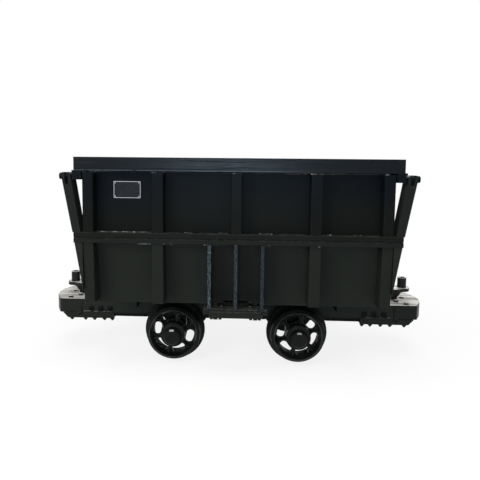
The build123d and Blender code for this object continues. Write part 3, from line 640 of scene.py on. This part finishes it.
# %% Finishes on the frame
FINISH_OF = {
    "wheel_": cast_wheel,
    "hub_caps": hub_cap,
    "dump_roller": cast_wheel,
    "axle_seats": frame_paint,
    "axle_": turned_steel,
    "tilt_pins": turned_steel,
    "buffer_shoe": worn_lip,
    "buffer_": worn_steel,
    "pin_guide": worn_guide,
    "frame_beams": beam_paint,
    "cross_members": frame_paint,
    "end_plates": frame_paint,
    "tilt_outriggers": frame_paint,
    "door_bars": flame_cut,
    "door_arms": arm_lit_paint,
    "door_foot": upright_shaded_paint,
    "door_ribs": upright_shaded_paint,
    "door_posts": upright_shaded_paint,
    "top_rim": rim_paint,
    "hopper_floor": scoured_plate,
    "end_wall": scoured_plate,
    "far_wall": scoured_plate,
}
for name, node in nodes.items():
    starts = [start for start in FINISH_OF if name.startswith(start)]
    finish = FINISH_OF[starts[0]] if starts else body_paint
    node.data.materials.clear()
    node.data.materials.append(finish)
print("finished", len(nodes), "nodes")

# %% [markdown]
# New pieces are modelled as by hand: a primitive at its size and place, then edit mode. Operators act
# on all that is selected, so each piece starts with nothing selected, and its faces are picked in
# code. Many pieces here are small parts that stand on a face, so a cylinder with its foot at a given
# height and a way to inset and lift its top serve all of them.


# %% Tools for modelling
def add_start(primitive, **size):
    """Adds a primitive with nothing else selected."""
    bpy.ops.object.select_all(action="DESELECT")
    primitive(**size)
    return bpy.context.object


def pick_faces(piece, wanted):
    """Goes to edit mode with only the faces selected for which wanted(normal) is true."""
    bpy.ops.object.mode_set(mode="EDIT")
    bpy.ops.mesh.select_mode(type="FACE")
    bpy.ops.mesh.select_all(action="DESELECT")
    mesh = bmesh.from_edit_mesh(piece.data)
    for face in mesh.faces:
        face.select_set(wanted(face.normal))
    bmesh.update_edit_mesh(piece.data)


def leave_edit():
    bpy.ops.object.mode_set(mode="OBJECT")


def standing_cylinder(sides, radius, height, base=0.0):
    """A cylinder of that many sides, from base upwards."""
    piece = add_start(
        bpy.ops.mesh.primitive_cylinder_add, vertices=sides, radius=radius, depth=height,
        location=(0, 0, base + height / 2))
    bpy.ops.object.transform_apply(location=True)
    return piece


def lift_top(piece, *steps):
    """Shapes the top: each step is an inset and a lift, one inside the other."""
    pick_faces(piece, lambda normal: normal.z > 0.9)
    for inset, lift in steps:
        bpy.ops.mesh.inset(thickness=inset)
        bpy.ops.transform.translate(value=(0, 0, lift))
    leave_edit()


print("modelling tools are ready")

# %% [markdown]
# What repeats is modelled once, copied to its places, and joined into one piece. A copy could share its
# mesh, but its place is put into the mesh, so each has its own. A finished piece gets its name, the body
# that it rides on, and its finish.

# %% Tools for placing
SMOOTH_BELOW = math.radians(35)
FACE_FRONT = Matrix.Rotation(math.pi / 2, 4, "X")
FACE_BACK = Matrix.Rotation(-math.pi / 2, 4, "X")
FACE_DOWN = Matrix.Rotation(math.pi, 4, "X")


def copy_to(piece, place, turn):
    """A copy with its own mesh, turned about its own middle and then placed."""
    twin = piece.copy()
    twin.data = piece.data.copy()
    bpy.context.scene.collection.objects.link(twin)
    twin.data.transform(Matrix.Translation(place) @ turn)
    return twin


def joined(pieces):
    """One object out of several."""
    bpy.ops.object.select_all(action="DESELECT")
    for piece in pieces:
        piece.select_set(True)
    bpy.context.view_layer.objects.active = pieces[0]
    bpy.ops.object.join()
    return bpy.context.object


def settle(piece, name, body, finish=None):
    """Names a finished piece, puts its place into its mesh and lets it ride."""
    bpy.ops.object.select_all(action="DESELECT")
    piece.select_set(True)
    bpy.context.view_layer.objects.active = piece
    bpy.ops.object.transform_apply(location=True, rotation=True, scale=True)
    bpy.ops.object.shade_smooth_by_angle(angle=SMOOTH_BELOW)
    piece.name = name
    piece.data.name = name
    if finish:
        piece.data.materials.append(finish)
    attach(piece, body)
    print(name, len(piece.data.polygons), "faces")


print("placing tools are ready")

# %% [markdown]
# The name plate is a thin metal sheet with a raised silver edge round a black field. One finish with a
# mask could do both, but their border is an edge of the mesh, so two finishes on two sets of faces
# are simpler: worn silver, and a dark enamel with a faint haze.

# %% Plate finishes
SILVER_DARK = colour(0.19, 0.19, 0.20)
SILVER_LIGHT = colour(0.36, 0.355, 0.37)
FIELD_DARK = colour(0.010, 0.011, 0.013)
FIELD_LIGHT = colour(0.018, 0.018, 0.020)

silver = Coat("plate_silver", 0.5)
silver_wear = silver.noise(120.0, 3.0, 0.6)
plate_silver = silver.finished(
    base=silver.blend(silver_wear, SILVER_DARK, SILVER_LIGHT),
    rough=0.38 + (silver_wear - 0.5) * 0.2,
    metal=0.55)
field = Coat("plate_field", 0.08)
haze = field.noise(40.0, 4.0, 0.65)
plate_field = field.finished(
    base=field.blend(haze.rise(0.4, 0.75), FIELD_DARK, FIELD_LIGHT),
    rough=0.28 + haze * 0.2)
print(plate_silver.name, plate_field.name)

# %% [markdown]
# The plate's field is left blank. It could be two plates, one on the other, but a pressed plate is
# one sheet: a cube scaled thin is inset twice from the front. The first inset is the border's width,
# and the second, pushed back, gives the border its inner step.

# %% Name plate
PLATE_MIDDLE_X = -0.6474
PLATE_MIDDLE_Z = 1.117
PLATE_WIDTH = 0.160
PLATE_HEIGHT = 0.099
PLATE_THICKNESS = 0.003
PLATE_BORDER = 0.0032
STEP_WIDTH = 0.001
STEP_DEPTH = 0.0012

skin_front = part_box("door_skin")[0].y
plate = add_start(
    bpy.ops.mesh.primitive_cube_add, size=1.0,
    location=(PLATE_MIDDLE_X, skin_front - PLATE_THICKNESS / 2, PLATE_MIDDLE_Z))
plate.scale = (PLATE_WIDTH, PLATE_THICKNESS, PLATE_HEIGHT)
bpy.ops.object.transform_apply(location=False, rotation=False, scale=True)
plate.data.materials.append(plate_silver)
plate.data.materials.append(plate_field)
pick_faces(plate, lambda normal: normal.y < -0.9)
bpy.ops.mesh.inset(thickness=PLATE_BORDER)
bpy.ops.mesh.inset(thickness=STEP_WIDTH, depth=-STEP_DEPTH)
plate.active_material_index = 1
bpy.ops.object.material_slot_assign()
leave_edit()
settle(plate, "name_plate", "side_door")

# %% [markdown]
# A domed rivet holds each corner of the plate. A sphere would be the quick start, but most of it
# would be hidden, so the dome is a short round whose top is inset and lifted twice.

# %% Rivets of the plate
RIVET_R = 0.0045
RIVET_HEIGHT = 0.003
RIVET_FROM_EDGE = 0.009
# inset and lift of each step
RIVET_DOME = ((0.0012, 0.0011), (0.0016, 0.0005))

rivet = standing_cylinder(16, RIVET_R, RIVET_HEIGHT, -RIVET_HEIGHT / 2)
lift_top(rivet, *RIVET_DOME)
rivets = []
for side in (-1, 1):
    for level in (-1, 1):
        corner = Vector((
            PLATE_MIDDLE_X + side * (PLATE_WIDTH / 2 - RIVET_FROM_EDGE),
            skin_front - PLATE_THICKNESS,
            PLATE_MIDDLE_Z + level * (PLATE_HEIGHT / 2 - RIVET_FROM_EDGE)))
        rivets.append(copy_to(rivet, corner, FACE_FRONT))
bpy.data.objects.remove(rivet)
settle(joined(rivets), "plate_rivets", "side_door", plate_silver)

# %% [markdown]
# Hexagon bolts hold the buffers, the shoes and the frame together. A bolt could be one spun outline,
# but its head has six sides and its washer is round, so they are two shapes, modelled upright: a
# six-sided cylinder whose top is inset and lifted for the chamfer, on a thin round washer with a
# bevelled edge. Threads are left out, because they never show.

# %% Bolt with washer
BOLT_HEAD_R = 0.0155
BOLT_HEAD_HEIGHT = 0.010
WASHER_R = 0.019
WASHER_THICKNESS = 0.003
# shares of the radius, the height and the thickness
CHAMFER_INSET = 0.14
CHAMFER_LIFT = 0.15
WASHER_BEVEL = 0.3


def hexagon(radius, height, base=0.0):
    """A hexagon head from base upwards, with its top corners cut back."""
    head = standing_cylinder(6, radius, height, base)
    lift_top(head, (radius * CHAMFER_INSET, height * CHAMFER_LIFT))
    return head


def washer(radius, thickness):
    ring = standing_cylinder(24, radius, thickness)
    bevel = ring.modifiers.new("edge", "BEVEL")
    bevel.width = thickness * WASHER_BEVEL
    bevel.segments = 1
    bevel.limit_method = "ANGLE"
    bpy.ops.object.modifier_apply(modifier=bevel.name)
    return ring


bolt_head = hexagon(BOLT_HEAD_R, BOLT_HEAD_HEIGHT, WASHER_THICKNESS)
bolt = joined([bolt_head, washer(WASHER_R, WASHER_THICKNESS)])
print("one bolt has", len(bolt.data.polygons), "faces")

# %% [markdown]
# Flat gussets are welded in behind the web of each beam: one on either side of each axle seat, up to
# the slope over the wheel, and one behind each notch. Extruding an outline would do, but every gusset
# has four corners, so each starts as a thin box whose corners are moved to the outline of the gap.


# %% A gusset
GUSSET_THICKNESS = 0.004
NEAR_ENOUGH = 0.001


def gusset(lower, upper, bottom, top, middle_y):
    """A flat plate. lower and upper are its left and right ends, in x, at bottom and at top."""
    sheet = add_start(bpy.ops.mesh.primitive_cube_add, size=1.0, location=(0, middle_y, 0))
    sheet.scale = (1.0, GUSSET_THICKNESS, 1.0)
    bpy.ops.object.transform_apply(location=True, rotation=True, scale=True)
    bpy.ops.object.mode_set(mode="EDIT")
    bpy.ops.mesh.select_mode(type="VERT")
    for side in (0, 1):
        for level, ends, height in ((0, lower, bottom), (1, upper, top)):
            x = side - 0.5
            z = level - 0.5
            bpy.ops.mesh.select_all(action="DESELECT")
            mesh = bmesh.from_edit_mesh(sheet.data)
            for vert in mesh.verts:
                vert.select_set(abs(vert.co.x - x) < NEAR_ENOUGH and abs(vert.co.z - z) < NEAR_ENOUGH)
            bmesh.update_edit_mesh(sheet.data)
            bpy.ops.transform.translate(value=(ends[side] - x, 0, height - z))
    bpy.ops.mesh.select_all(action="SELECT")
    bpy.ops.mesh.normals_make_consistent(inside=False)
    leave_edit()
    return sheet


print("gussets are", GUSSET_THICKNESS, "thick")

# %% [markdown]
# The gussets fill the gaps beside the wheels and at the notches, through which the background would
# show. They could be listed one by one, but they stand at the same distances from either axle, on
# both beams, so loops over the sides and the ends place them all.

# %% Gussets in the frame
WEB_Y = 0.184
NOTCH_Y = 0.1435
BEAM_LOW = 0.243
SADDLE_LOW = 0.338
NOTCH_LOW = 0.270
NOTCH_TOP = 0.350
# distances from the axle
SEAT_HALF = 0.052
RAMP_HEAD = 0.155
RAMP_FOOT = 0.202
NOTCH_NEAR = 0.200
NOTCH_FAR = 0.280

gussets = []
for face in (-1, 1):
    for end in (-1, 1):
        axle = end * AXLE_X
        for hand in (-1, 1):
            lower = sorted((axle + hand * SEAT_HALF, axle + hand * RAMP_FOOT))
            upper = sorted((axle + hand * SEAT_HALF, axle + hand * RAMP_HEAD))
            gussets.append(gusset(lower, upper, BEAM_LOW, SADDLE_LOW, face * WEB_Y))
        notch = sorted((axle + end * NOTCH_NEAR, axle + end * NOTCH_FAR))
        gussets.append(gusset(notch, notch, NOTCH_LOW, NOTCH_TOP, face * NOTCH_Y))
settle(joined(gussets), "frame_gussets", "underframe", frame_paint)

# %% [markdown]
# Three bolts at each end of each beam clamp the buffer to it, just above the turned-up lip. An Array
# modifier would give even spacing, and these are not quite even, so their places are a short table.

# %% Bolts at the sides
SIDE_BOLT_X = (0.849, 0.9116, 0.977)
SIDE_BOLT_Z = 0.2915

beam_low, beam_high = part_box("frame_beams")
side_bolts = []
for end in (-1, 1):
    for bolt_x in SIDE_BOLT_X:
        side_bolts.append(copy_to(bolt, Vector((end * bolt_x, beam_low.y, SIDE_BOLT_Z)), FACE_FRONT))
        side_bolts.append(copy_to(bolt, Vector((end * bolt_x, beam_high.y, SIDE_BOLT_Z)), FACE_BACK))
settle(joined(side_bolts), "side_bolts", "underframe", bolt_black)

# %% [markdown]
# Two bolts on each side of each buffer's top hold it down. They are rubbed as bare as the top is. They
# could all be set square, but tightened bolts stop anywhere, so the two are turned differently.

# %% Bolts on the buffers
TOP_BOLTS = ((1.078, 0.105), (1.126, 0.165))
TURN_PER_METRE = 40

buffer_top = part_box("buffer_left")[1].z
top_bolts = []
for end in (-1, 1):
    for side in (-1, 1):
        for bolt_x, bolt_y in TOP_BOLTS:
            place = Vector((end * bolt_x, side * bolt_y, buffer_top))
            top_bolts.append(copy_to(bolt, place, Matrix.Rotation(bolt_x * TURN_PER_METRE, 4, "Z")))
bpy.data.objects.remove(bolt)
settle(joined(top_bolts), "buffer_bolts", "underframe", worn_steel)

# %% [markdown]
# Under each shoe the bolt ends come through their nuts. They are seen against the white floor, so
# their outline counts: a nut is the same hexagon, lower, and the end of its bolt is a thinner round
# that stands out of it.

# %% Nuts under the shoes
NUT_R = 0.0145
NUT_HEIGHT = 0.0085
STUD_R = 0.0078
STUD_LENGTH = 0.008
# inset and lift
STUD_CHAMFER = (0.002, 0.0012)
NUT_X = (0.835, 0.8886, 0.9564, 1.018, 1.111)
NUT_Y = 0.185

shoe_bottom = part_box("buffer_shoe_left")[0].z
nut = hexagon(NUT_R, NUT_HEIGHT)
stud = standing_cylinder(14, STUD_R, STUD_LENGTH, NUT_HEIGHT)
lift_top(stud, STUD_CHAMFER)
nut = joined([nut, stud])
shoe_nuts = []
for end in (-1, 1):
    for side in (-1, 1):
        for nut_x in NUT_X:
            place = Vector((end * nut_x, side * NUT_Y, shoe_bottom))
            shoe_nuts.append(copy_to(nut, place, FACE_DOWN))
bpy.data.objects.remove(nut)
settle(joined(shoe_nuts), "shoe_nuts", "underframe", frame_paint)

# %% [markdown]
# Some stretches of weld were brushed clean and are light, the others have kept their paint. One light
# colour would look like a chalk line, so light flecks come from a noise with a high threshold. They
# are dimmest at the foot, and dim again under the rim.

# %% Weld finishes
FLECK = colour(0.30, 0.315, 0.305)

weld_paint = Paint("weld_bead", specular=0.05).plain()
bead = Paint("brushed_weld", specular=0.08)
flecks = bead.noise(60.0, 4.0, 0.75).rise(0.48, 0.66)
flecks = flecks * bead.z.rise(0.45, 0.86).most(0.10) * bead.z.rise(1.1, 0.9).most(0.35)
brushed_weld = bead.finished(bead.blend(flecks, bead.base, FLECK), bead.rough, bead.normal)
print(weld_paint.name, brushed_weld.name)

# %% [markdown]
# A bead could be a bump on the plate, but a real one stands proud and breaks the outline. So it is an
# eight-sided rod along the corner, cut into short rings and pushed in and out by a cloud texture,
# which gives the lumps of hand welding. All beads here run along the cart.

# %% A weld bead
WELD_STEP = 0.006
LUMP_SHARE = 1.3
lumps = bpy.data.textures.new("weld_lumps", "CLOUDS")
lumps.noise_scale = 0.009
lumps.noise_depth = 2


def weld(left, right, middle_y, height, radius):
    """A bead from left to right, with its middle on the corner."""
    start = Vector((left, middle_y, height))
    end = Vector((right, middle_y, height))
    run = end - start
    rod = add_start(
        bpy.ops.mesh.primitive_cylinder_add, vertices=8, radius=radius, depth=run.length,
        location=(start + end) / 2, rotation=run.to_track_quat("Z", "Y").to_euler())
    bpy.ops.object.mode_set(mode="EDIT")
    bpy.ops.mesh.select_mode(type="EDGE")
    bpy.ops.mesh.select_all(action="DESELECT")
    mesh = bmesh.from_edit_mesh(rod.data)
    for edge in mesh.edges:
        edge.select_set(abs(edge.verts[1].co.z - edge.verts[0].co.z) > 0.5 * run.length)
    bmesh.update_edit_mesh(rod.data)
    bpy.ops.mesh.subdivide(number_cuts=max(1, int(run.length / WELD_STEP)))
    leave_edit()
    push = rod.modifiers.new("lumps", "DISPLACE")
    push.texture = lumps
    push.texture_coords = "GLOBAL"
    push.strength = radius * LUMP_SHARE
    bpy.ops.object.modifier_apply(modifier=push.name)
    return rod


print("one ring every", WELD_STEP)

# %% [markdown]
# The door is welded together from plate and pressed channels, and the beads show wherever two pieces
# meet: along the top and the underside of the band, at the feet of the three narrow plates and along
# the foot. One long bead for each corner would be simpler, but hand welding comes in stretches, so
# the runs are short tables.

# %% Welds on the band and the foot
BEAD_R = 0.0038
RIB_FACE = -0.592
UNDER_BACK = 0.0066
BAR_FEET_HEIGHT = 0.427
APRON_HEIGHT = 0.4125
# start, end, whether it was brushed
BAND_TOP = (
    (-0.826, -0.489, True), (-0.43, -0.33, False), (-0.30, -0.26, True), (-0.21, -0.13, False),
    (-0.10, -0.05, True), (0.13, 0.21, True), (0.25, 0.40, False), (0.50, 0.55, True),
    (0.67, 0.72, True), (0.74, 0.82, False))
BAND_UNDER = (
    (-0.58, -0.49, True), (-0.42, -0.37, True), (-0.185, -0.165, True), (-0.14, -0.05, False),
    (0.165, 0.205, True), (0.465, 0.488, True))
BAR_FEET = ((-0.180, -0.07, False), (-0.05, 0.180, True))
APRON_TOP = ((-0.153, 0.153, True),)

band_low, band_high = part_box("door_band")
# the runs, their y and their height
ROWS = (
    (BAND_TOP, band_high.y, band_high.z),
    (BAND_UNDER, band_low.y + UNDER_BACK, band_low.z),
    (BAR_FEET, RIB_FACE, BAR_FEET_HEIGHT),
    (APRON_TOP, RIB_FACE, APRON_HEIGHT))
brushed = []
coated = []
for runs, middle_y, height in ROWS:
    for left, right, is_brushed in runs:
        kind = brushed if is_brushed else coated
        kind.append(weld(left, right, middle_y, height, BEAD_R))
print(len(brushed), "brushed and", len(coated), "coated beads")

# %% [markdown]
# Each upright has a coated bead where it meets the band and a small brushed dab at its head. Every
# bead could be a piece of its own, but one piece for each finish is easier to handle. The beam on the
# door side has two beads too, in a piece apart, because they stay with the frame when the door swings.

# %% Welds on the uprights and the beams
UPRIGHTS = (
    (-0.8925, -0.8305), (-0.4885, -0.4215), (-0.032, 0.032), (0.4215, 0.4885), (0.8305, 0.8925))
UPRIGHT_BEAD_R = 0.004
UPRIGHT_BEAD_BACK = 0.004
DAB_R = 0.0034
DAB_BACK = 0.002
DAB_START = 0.004
DAB_END = 0.024
BEAM_BEADS = ((-0.125, -0.03), (0.03, 0.125))
BEAM_BEAD_R = 0.004
BEAM_TOP = 0.343
BEAM_WEB_Y = -0.19

door_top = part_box("door_skin")[1].z
for left, right in UPRIGHTS:
    coated.append(weld(left, right, RIB_FACE + UPRIGHT_BEAD_BACK, band_high.z, UPRIGHT_BEAD_R))
    brushed.append(weld(left + DAB_START, left + DAB_END, RIB_FACE + DAB_BACK, door_top, DAB_R))
settle(joined(brushed), "brushed_welds", "side_door", brushed_weld)
settle(joined(coated), "door_welds", "side_door", weld_paint)
beam_beads = []
for left, right in BEAM_BEADS:
    beam_beads.append(weld(left, right, BEAM_WEB_Y, BEAM_TOP, BEAM_BEAD_R))
settle(joined(beam_beads), "beam_welds", "underframe", brushed_weld)

# %% [markdown]
# The box that the frame had when it was loaded is printed at the end.

print("cad box", box_at_load)
